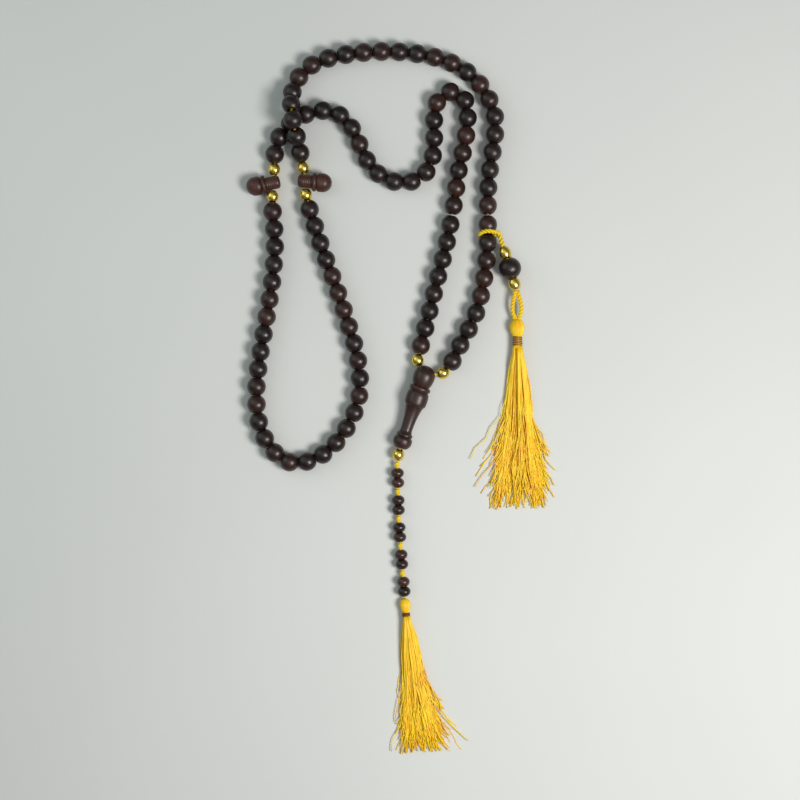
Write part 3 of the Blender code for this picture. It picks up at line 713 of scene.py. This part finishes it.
def divider_profile(drum=2.77, flange=3.9, knob=3.97):
    """From the drum's round end to the knob's dome, with the lathe's ridges round the drum."""
    side = smooth_profile([(-3.1, 1.2), (-2.95, 1.9), (-2.4, 2.6), (-1.6, drum), (-0.6, drum + 0.02)])
    ridges = []
    for start in (-0.4, 0.45, 1.3, 2.1):
        for up, out in ((0.0, -0.1), (0.15, -0.01), (0.45, 0.03), (0.7, -0.03)):
            ridges.append((start + up, drum + out))
    edge = [(3.2, flange - 0.35), (3.5, flange), (4.35, flange + 0.02), (4.8, flange - 0.3)]
    rim = [(3.0, drum - 0.04), (3.14, flange - 0.6), *smooth_profile(edge, 3)]
    neck = [(4.88, flange - 0.7), (4.94, 3.1), (5.16, 3.1), (5.2, knob - 0.6)]
    dome = [(5.28, knob - 0.3), (5.9, knob - 0.02), (7.2, knob + 0.02), (8.6, knob - 0.14)]
    dome += [(9.7, knob - 0.72), (10.6, knob - 1.6), (11.1, knob - 2.55), (11.28, 0.8)]
    return [(-3.14, 0.0), *side, *ridges, *rim, *neck, *smooth_profile(dome, 5), (11.3, 0.0)]


def imame_profile(length):
    """From the top of the egg-shaped ball to the foot."""

    def from_end(*pairs):
        return [(length - up, radius) for up, radius in pairs]

    ball = BALL_DIAMETER / 2
    angles = np.linspace(0.0, math.pi / 2, 12)
    crown = [(ball - ball * math.cos(a), ball * math.sin(a)) for a in angles]
    angles = np.linspace(math.pi / 2, 2.23, 8)[1:]
    lower = [(ball - 6.8 * math.cos(a), ball * math.sin(a)) for a in angles]
    bulge = [(9.25, 4.1), (9.7, 4.44), (10.4, 4.48), (10.85, 4.3)]
    ring = [(9.0, 3.5), (9.12, 3.7), *smooth_profile(bulge, 3)]
    swell = [(11.6, 4.25), (12.8, 4.6), (14.6, 4.7), (16.5, 4.6), (17.35, 4.36)]
    collar = [(11.0, 3.9), (11.25, 3.85), (11.4, 4.05), *smooth_profile(swell, 4)]
    waist = [(17.8, 3.85), (18.9, 3.52), (20.8, 3.1), (23.4, 2.74), (26.4, 2.52)]
    waist += from_end((8.0, 2.5), (6.9, 2.85))
    stem = [(17.45, 4.18), (17.55, 3.98), *smooth_profile(waist, 6)]
    foot_ring = smooth_profile(from_end((6.6, 3.1), (6.2, 3.42), (5.7, 3.45)), 3)
    groove = from_end((5.45, 3.2), (5.2, 3.1))
    foot = smooth_profile(from_end((5.0, 3.35), (4.4, 3.82), (3.2, 4.0), (1.9, 3.8), (0.8, 3.15)), 5)
    end = from_end((0.25, 2.5), (0.02, 1.7), (0.0, 0.0))
    return [*crown, *lower, *ring, *collar, *stem, *foot_ring, *groove, *foot, *end]


# Operators


class MakeOperator(bpy.types.Operator):
    """Shared by the operators that add pieces."""

    bl_options = {"REGISTER", "UNDO"}


class MISBAHA_OT_strand_beads(MakeOperator):
    """Adds the ninety-nine strand beads, run by run"""

    bl_idname = "misbaha.strand_beads"
    bl_label = "Strand beads"

    def execute(self, context):
        layout, wood = Layout(), context.scene.misbaha_wood
        routes = {"inner": layout.inner, "outer": layout.outer, "middle": layout.middle}
        chance = random.Random(33)
        for name, (pitch, places) in layout.thirds.items():
            for number, (first, past) in enumerate(layout.runs(name), 1):
                node = f"{name}_beads_{number}"
                piece = Piece(f"wood_{node}")
                for place in places[first:past]:
                    self.add_bead(piece, routes[name].frame(place), pitch, wood, chance)
                piece.finish("bead_wood", node)
        return {"FINISHED"}

    def add_bead(self, piece, place, pitch, wood, chance):
        length = (pitch - SEAM) * chance.uniform(0.994, 1.0)
        diameter = wood.bead * chance.uniform(0.98, 1.0)
        mesh = turned_mesh(bead_profile(length, diameter, wood.bore), 28, closed=True)
        lean = Matrix.Rotation(math.radians(chance.uniform(-2, 2)), 4, "X")
        turn = Matrix.Rotation(chance.uniform(0, TURN), 4, "Z")
        tone = chance.random() ** 3
        piece.add(mesh, place @ lean @ turn, tone, chance.uniform(1, 90))
        bpy.data.meshes.remove(mesh)


class MISBAHA_OT_gold_beads(MakeOperator):
    """Adds the gold beads beside the dividers, at the imame, on the tail and on the marker"""

    bl_idname = "misbaha.gold_beads"
    bl_label = "Gold beads"

    def execute(self, context):
        size = context.scene.misbaha_metal.gold
        layout = Layout()
        narrow, wide = (
            turned_mesh(bead_profile(size - SEAM, size, bore, 0.42), 32, closed=True)
            for bore in (NARROW_BORE, WIDE_BORE)
        )
        tail, places = layout.tail()
        line, along = marker_line()
        spots = {
            "gold_left_upper": layout.inner.frame(layout.at_divider()),
            "gold_right_upper": layout.outer.frame(layout.at_divider()),
            "gold_left_lower": layout.middle.frame(layout.at_divider()),
            "gold_right_lower": layout.middle.frame(layout.middle.length - layout.at_divider()),
            "gold_left_imame": layout.inner.frame(layout.inner.length - layout.at_imame(0.0)),
            "gold_right_imame": layout.outer.frame(layout.outer.length - layout.at_imame(RIGHT_SLACK)),
            "gold_tail": tail.frame(places["gold"]),
            "gold_marker_upper": frame_along(along("gold_marker_upper"), line),
            "gold_marker_lower": frame_along(along("gold_marker_lower"), line),
        }
        for number, (node, place) in enumerate(spots.items()):
            piece = Piece(f"{node}_plated")
            piece.add(wide if "marker" in node else narrow, place, 0.5, number + 1)
            piece.finish("gold_plate", node)
        return {"FINISHED"}


class MISBAHA_OT_dividers(MakeOperator):
    """Adds the two knobbed dividers"""

    bl_idname = "misbaha.dividers"
    bl_label = "Dividers"

    def execute(self, context):
        layout = Layout()
        mesh = turned_mesh(divider_profile(), 40)
        for node, route, side, tilt in (
            ("divider_left", layout.inner, -1, 11.0),
            ("divider_right", layout.outer, 1, 5.0),
        ):
            angle = math.radians(tilt)
            place = frame_along(route.at(0.0), (side * math.cos(angle), -math.sin(angle), 0.0))
            piece = Piece(f"{node}_turned")
            piece.add(mesh, place, 0.7, 5 + side)
            piece.finish("divider_wood", node)
        return {"FINISHED"}


class MISBAHA_OT_imame(MakeOperator):
    """Adds the imame that gathers the strand's two ends"""

    bl_idname = "misbaha.imame"
    bl_label = "Imame"

    def execute(self, context):
        ball, foot = Layout().imame()
        axis = (foot - ball).normalized()
        piece = Piece("imame_turned")
        mesh = turned_mesh(imame_profile(context.scene.misbaha_wood.imame), 48)
        piece.add(mesh, frame_along(ball - axis * (BALL_DIAMETER / 2), axis), 0.6, 3)
        piece.finish("imame_wood", "imame")
        return {"FINISHED"}


class MISBAHA_OT_counters(MakeOperator):
    """Adds the ten counters of the tail and the marker's large bead"""

    bl_idname = "misbaha.counters"
    bl_label = "Counters"

    def execute(self, context):
        wood = context.scene.misbaha_wood
        tail, places = Layout().tail()
        chance = random.Random(10)
        shape = bead_profile(COUNTER_LENGTH - SEAM, wood.counter, 1.6, 0.45)
        mesh = turned_mesh(shape, 28, closed=True)
        for number, place in enumerate(places["counters"], 1):
            node = f"counter_{number}"
            piece = Piece(f"{node}_turned")
            lean = Matrix.Rotation(math.radians(chance.uniform(-4, 4)), 4, "X")
            piece.add(mesh, tail.frame(place) @ lean, chance.random(), chance.uniform(1, 90))
            piece.finish("counter_wood", node)
        line, along = marker_line()
        piece = Piece("marker_bead_turned")
        mesh = turned_mesh(bead_profile(*MARKER_BEAD, 0.38), 40, closed=True)
        piece.add(mesh, frame_along(along("marker_bead"), line), 0.15, 7)
        piece.finish("bead_wood", "marker_bead")
        return {"FINISHED"}


def joint_place(name):
    joints = frame["record"]["behaviour"]["joints"]
    return Vector(next(j for j in joints if j["name"] == name)["pos_m"]) / MM


def marker_line():
    """The marker's direction, and a function that gives a node's middle in millimetres."""

    def middle(node):
        low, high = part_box(node)
        return (Vector(low) + Vector(high)) / 2 / MM

    return (middle("gold_marker_lower") - middle("gold_marker_upper")).normalized(), middle


def knot_line(route, place, radius):
    """Wraps of cord round the route, leaning a little, as an overhand knot shows."""
    line = []
    for share in np.linspace(0, 1, 40):
        angle = 2 * math.pi * KNOT_TURNS * share
        spot = route.frame(place + (share - 0.5) * 1.5)
        swell = radius * (0.82 + 0.18 * math.sin(math.pi * share))
        lean = 0.35 * math.sin(angle + 0.6)
        line.append(spot @ Vector((swell * math.cos(angle), swell * math.sin(angle), lean)))
    return line


class MISBAHA_OT_tail_cord(MakeOperator):
    """Adds the tail's twisted cord and its five knots"""

    bl_idname = "misbaha.tail_cord"
    bl_label = "Tail cord"

    def execute(self, context):
        cord = context.scene.misbaha_silk.cord
        route, places = Layout().tail()
        start = places["gold"] + context.scene.misbaha_metal.gold / 2 + 0.52
        end = places["swing"] - GAP / 2
        path = [route.at(s) for s in np.linspace(start, end, 40)]
        lines = twisted(path, 3, cord * 0.26, 3.2)
        tones = (0.5, 1.0)
        obj = add_threads("tail_cord_twisted", lines, cord * 0.27, "cord_thread", "tail_cord", 1, tones)
        knots = [knot_line(route, place, 0.72) for place in places["knots"]]
        add_threads("tail_knots", knots, 0.42, "cord_thread", "tail_cord", 2, tones, in_place=False)
        return {"FINISHED"}


class MISBAHA_OT_marker_cords(MakeOperator):
    """Adds the marker's rope, its ring round the strand and the eye above its tassel"""

    bl_idname = "misbaha.marker_cords"
    bl_label = "Marker cords"

    def execute(self, context):
        strand = context.scene.misbaha_silk.rope * 0.27
        heading, middle = marker_line()
        self.make_ring(strand)
        upper, lower = middle("gold_marker_upper"), middle("gold_marker_lower")
        swing = joint_place("marker_swing")
        path = catmull_rom([swing, upper - heading * 2, upper, lower, lower + heading * 2.6])
        self.add_cord("marker_rope", twisted(path, 2, strand, 3.4), strand * 1.02)
        self.make_eye(strand)
        return {"FINISHED"}

    def add_cord(self, node, lines, radius):
        add_threads(f"{node}_twisted", lines, radius, "cord_thread", node, 2, (0.55, 1.0))

    def make_ring(self, strand):
        """Twisted cord that lies between two beads round the strand and closes at the marker's neck."""
        layout = Layout()
        places = layout.thirds["outer"][1]
        groove = (places[BEADS_IN_THIRD - 9] + places[BEADS_IN_THIRD - 8]) / 2
        spot = layout.outer.frame(groove)
        swing = joint_place("marker_swing")
        toward = (spot.inverted() @ swing).xy
        begin = math.atan2(toward.y, toward.x)
        heading, _ = marker_line()
        neck = swing - heading * 1.1
        around = [swing, neck]
        for share in np.linspace(0, 1, 26):
            angle = begin + RING_OPENING + (2 * math.pi - 2 * RING_OPENING) * share
            x, y = RING_RADIUS * math.cos(angle), RING_RADIUS * math.sin(angle)
            over = max(-math.sin(angle), 0.0)
            around.append(spot @ Vector((x, y, 0.5 - 1.3 * over)))
        around += [neck + Vector((0, 0, 0.5)), swing + Vector((0, 0, 0.3))]
        lines = twisted(catmull_rom(around, 3), 2, strand * 0.95, 3.2)
        self.add_cord("marker_ring", lines, strand * 0.96)

    def make_eye(self, strand):
        """Two legs of twisted cord that part below the gold bead and close at the tassel's head."""
        pivot = joint_place("marker_tassel_swing")
        head, heading = tassel_line()
        side = heading.cross(Vector((0, 0, 1)))
        lines = []
        for way in (-1, 1):
            path = []
            for share in np.linspace(0, 1, 12):
                spread = 0.5 + 1.35 * math.sin(math.pi * share ** 1.3) ** 0.9
                place = pivot + heading * (EYE_START + EYE_LENGTH * share) + side * way * spread
                path.append(place - Vector((0, 0, (pivot.z - head.z) * share)))
            lines += twisted(catmull_rom(path, 3), 2, strand, 3.0, start=way)
        self.add_cord("marker_eye", lines, strand * 1.02)


class Tassel:
    """One tassel's frame and sizes. Its head and binding have a diameter and a length each."""

    STRAYS = 0.09
    FULL_LENGTH = 0.55
    LOWEST = 0.23

    def __init__(self, name, head, binding, skirt, heading, start, stray_side):
        self.name, self.head, self.binding, self.stray_side = name, head, binding, stray_side
        self.length, self.width = skirt
        self.heading = Vector((heading.x, heading.y, 0)).normalized()
        self.side = self.heading.cross(Vector((0, 0, 1)))
        self.start = start

    def at(self, along, across, height):
        """A place by how far it is from the head's top, to the side and over the table."""
        place = self.start + self.heading * along + self.side * across
        return place + Vector((0, 0, height - self.start.z))

    def head_profile(self):
        diameter, length = self.head
        shares = [(0.0, 0.16), (0.1, 0.34), (0.3, 0.47), (0.5, 0.5)]
        shares += [(0.72, 0.46), (0.92, 0.36), (1.0, 0.31)]
        return [(along * length, out * diameter) for along, out in shares]

    def head_threads(self, count=34):
        """Threads drawn over the head from its crown to its neck."""
        lines = []
        profile = catmull_rom(self.head_profile(), 3)
        for k in range(count):
            line = []
            for z, r in profile:
                angle = 2 * math.pi * k / count + 0.25 * z / self.head[1]
                place = self.start + self.heading * z + self.side * (r - 0.2) * math.cos(angle)
                line.append(place + Vector((0, 0, (r - 0.2) * math.sin(angle))))
            lines.append(line)
        return lines

    def binding_line(self, thread):
        """A thread wound over the neck in open, slightly uneven turns."""
        diameter, length = self.binding
        turns = length / (thread * 1.5)
        line = []
        count = int(turns * 16)
        for i in range(count):
            share = i / (count - 1)
            angle = 2 * math.pi * turns * share
            radius = diameter / 2 - thread / 2 + 0.07 * math.sin(angle * 0.37)
            radius -= 0.25 * abs(2 * share - 1) ** 6
            along = self.head[1] + 0.1 + thread / 2 + (length - thread) * share
            place = self.start + self.heading * along + self.side * radius * math.cos(angle)
            line.append(place + Vector((0, 0, radius * math.sin(angle))))
        return line

    def half_width(self, share):
        shares, widths = zip(*SKIRT_SHAPE)
        return max(np.interp(share, shares, widths) * self.width, 0.8 * self.binding[0]) / 2

    def skirt_threads(self, count, seed):
        """Loose threads that leave as a bundle, gather in locks and fan out at their ends."""
        chance = random.Random(seed)
        draw = chance.uniform
        locks = [(draw(-1, 1), chance.random(), draw(0, TURN)) for _ in range(LOCKS)]
        lines = []
        for _ in range(count):
            lane, level, phase = chance.choice(locks)
            lane = max(-1.0, min(1.0, 0.9 * lane + chance.gauss(0, 0.085)))
            level = max(0.0, min(1.0, level + chance.gauss(0, 0.25)))
            reach = (0.86, 1.03) if chance.random() < self.FULL_LENGTH else (0.64, 0.95)
            stretch = chance.uniform(*reach)
            stray = chance.random() < self.STRAYS
            lines.append(self.thread_line(lane, level, phase, stretch, stray, chance))
        return lines

    def thread_line(self, lane, level, phase, stretch, stray, chance):
        """One loose thread, from the binding down to the table."""
        top = self.head[1] + self.binding[1] - 0.4
        mouth = self.binding[0] / 2 - 0.25
        ranges = ((0.05, 0.45), (0, TURN), (1.5, 6.5))
        sway = [tuple(chance.uniform(*ends) for ends in ranges) for _ in range(3)]
        curl, lift = chance.gauss(0, 0.9), chance.uniform(0, TURN)
        away = self.stray_side * chance.uniform(0.25, 0.8) if stray else 0.0
        leaves = chance.uniform(0.3, 0.6)
        line = []
        for share in np.linspace(0, 1, 22):
            held = (1 - share) ** 6
            across = lane * (held * mouth + (1 - held) * self.half_width(share))
            waves = sum(a * math.sin(p + f * TURN * share) for a, p, f in sway)
            across += waves * (0.5 * share + share * share)
            across += 1.3 * math.sin(phase + 8 * share) * share ** 3
            across += 16 * curl * max(share - 0.8, 0) ** 1.4
            across += 26 * away * max(share - leaves, 0) ** 1.5
            round_off = math.sqrt(max(1 - 0.9 * lane * lane, 0))
            thick = (4.4 - 2.6 * share) * round_off
            sink = min(share * 3.4, 1.0)
            sink = sink * sink * (3 - 2 * sink)
            bundled = self.start.z + (2 * level - 1) * mouth * round_off
            height = bundled * (1 - sink) + (0.24 + thick * level) * sink
            height += 0.3 * share * math.sin(lift + 11 * share)
            line.append(self.at(top + self.length * stretch * share, across, max(height, self.LOWEST)))
        return line


def tail_tassel():
    route, places = Layout().tail()
    start, heading = route.at(places["head"]), route.heading(places["swing"])
    return Tassel("tail_tassel", (4.3, 5.5), (3.6, 2.2), (57.0, 24.0), heading, start, -1)


def marker_tassel():
    middle, heading = tassel_line()
    head = (6.1, 6.9)
    start = middle - heading * (head[1] / 2)
    return Tassel("marker_tassel", head, (4.3, 4.9), (67.0, 27.0), heading, start, 1)


def tassel_line():
    """The middle of the marker tassel's head, and the direction from the tassel's joint to it."""
    _, middle = marker_line()
    head, joint = middle("marker_tassel_head"), joint_place("marker_tassel_swing")
    return head, Vector((*(head - joint).xy, 0)).normalized()


class MISBAHA_OT_tassels(MakeOperator):
    """Adds both tassels: head, binding and loose skirt"""

    bl_idname = "misbaha.tassels"
    bl_label = "Tassels"

    def execute(self, context):
        settings = context.scene.misbaha_silk
        for seed, tassel in enumerate((tail_tassel(), marker_tassel()), 7):
            name = tassel.name
            core = Piece(f"{name}_core")
            under = [(z, max(r - 0.25, 0)) for z, r in tassel.head_profile()]
            end = under[-1][0] + tassel.binding[1]
            profile = [(0.0, 0.0), *under, (end, 0.32 * tassel.head[0]), (end + 1.5, 0.0)]
            core.add(turned_mesh(profile, 24), frame_along(tassel.start, tassel.heading), 0.3, seed)
            core.finish("silk_thread", f"{name}_head")
            loose = tassel.skirt_threads(settings.threads, seed)
            for label, lines, radius, finish, node, sides in (
                ("head_threads", tassel.head_threads(), 0.3, "silk_thread", "head", 1),
                ("wound_binding", [tassel.binding_line(0.62)], 0.31, "copper_thread", "binding", 2),
                ("loose_threads", loose, settings.thread / 2, "silk_thread", "skirt", 1),
            ):
                add_threads(f"{name}_{label}", lines, radius, finish, f"{name}_{node}", sides)
        return {"FINISHED"}


class MISBAHA_OT_strand_cord(MakeOperator):
    """Gives the strand's own cord its silk"""

    bl_idname = "misbaha.strand_cord"
    bl_label = "Strand cord"

    def execute(self, context):
        for name, node in frame["nodes"].items():
            if name.startswith("cord_") or name == "imame_cord":
                node.data.materials.clear()
                node.data.materials.append(Palette.get("strand_thread"))
        return {"FINISHED"}


class MISBAHA_OT_stage(MakeOperator):
    """Adds the floor, the lights and the camera"""

    bl_idname = "misbaha.stage"
    bl_label = "Stage"

    def execute(self, context):
        self.add_floor()
        self.add_light("window", (0.34, -0.14, 0.56), 0.22, 4.2, (1.0, 0.97, 0.93))
        self.add_light("room", (-0.5, 0.25, 0.36), 0.5, 0.9, (0.84, 1.0, 0.9))
        self.add_light("overhead", (-0.1, 0.1, 0.9), 0.8, 1.2, (1.0, 1.0, 1.0))
        world = bpy.data.worlds.new("studio")
        world.use_nodes = True
        sky = {"Color": (0.85, 0.88, 0.9, 1.0), "Strength": 0.2}
        set_inputs(world.node_tree.nodes["Background"], sky)
        context.scene.world = world
        context.scene.view_settings.view_transform = "Standard"
        low, high = (Vector(corner) for corner in CAD_BOX)
        centre = (low + high) / 2
        data = bpy.data.cameras.new("camera")
        data.lens = 70
        camera = linked("camera", data)
        camera.location = (centre.x, centre.y, 0.66)
        context.scene.camera = camera
        return {"FINISHED"}

    def add_floor(self):
        bm = bmesh.new()
        bmesh.ops.create_grid(bm, x_segments=2, y_segments=2, size=2.0)
        mesh = mesh_of(bm, "table")
        made, tree, shader = new_material("pale_table")
        coords = tree.nodes.new("ShaderNodeTexCoord").outputs["Object"]
        cloud = noise(tree, coords, 3.0, 3.0)
        pale = ramp(tree, cloud, [(0.3, (0.56, 0.58, 0.57)), (0.7, (0.6, 0.62, 0.61))])
        tree.links.new(pale, shader.inputs["Base Color"])
        set_inputs(shader, {"Roughness": 0.75})
        mesh.materials.append(made)
        floor = linked("table", mesh)

    def add_light(self, name, place, size, power, colour):
        data = bpy.data.lights.new(name, "AREA")
        data.size = size
        data.energy = power
        data.color = colour
        lamp = linked(name, data)
        lamp.location = place
        lamp.rotation_euler = (-Vector(place)).to_track_quat("-Z", "Y").to_euler()


class MISBAHA_PT_panel(bpy.types.Panel):
    """Lists the misbaha's settings and operators"""

    bl_idname = "MISBAHA_PT_panel"
    bl_label = "Misbaha"
    bl_space_type = "VIEW_3D"
    bl_region_type = "UI"
    bl_category = "Misbaha"

    def draw(self, context):
        for group in SETTINGS:
            settings = getattr(context.scene, group)
            for name in settings.bl_rna.properties.keys():
                if name not in ("rna_type", "name"):
                    self.layout.prop(settings, name)
        for operator in OPERATORS:
            self.layout.operator(operator.bl_idname)


SETTINGS = {"misbaha_wood": MisbahaWood, "misbaha_metal": MisbahaMetal, "misbaha_silk": MisbahaSilk}
OPERATORS = (
    MISBAHA_OT_stage,
    MISBAHA_OT_strand_cord,
    MISBAHA_OT_tail_cord,
    MISBAHA_OT_marker_cords,
    MISBAHA_OT_strand_beads,
    MISBAHA_OT_gold_beads,
    MISBAHA_OT_dividers,
    MISBAHA_OT_imame,
    MISBAHA_OT_counters,
    MISBAHA_OT_tassels,
)


def register():
    for cls in (*SETTINGS.values(), *OPERATORS, MISBAHA_PT_panel):
        bpy.utils.register_class(cls)
    for name, group in SETTINGS.items():
        setattr(bpy.types.Scene, name, bpy.props.PointerProperty(type=group))


def unregister():
    for name in SETTINGS:
        delattr(bpy.types.Scene, name)
    for cls in (MISBAHA_PT_panel, *reversed(OPERATORS), *reversed(SETTINGS.values())):
        bpy.utils.unregister_class(cls)


def main():
    register()
    for operator in OPERATORS:
        group, name = operator.bl_idname.split(".")
        getattr(getattr(bpy.ops, group), name)()


if __name__ == "__main__":
    main()
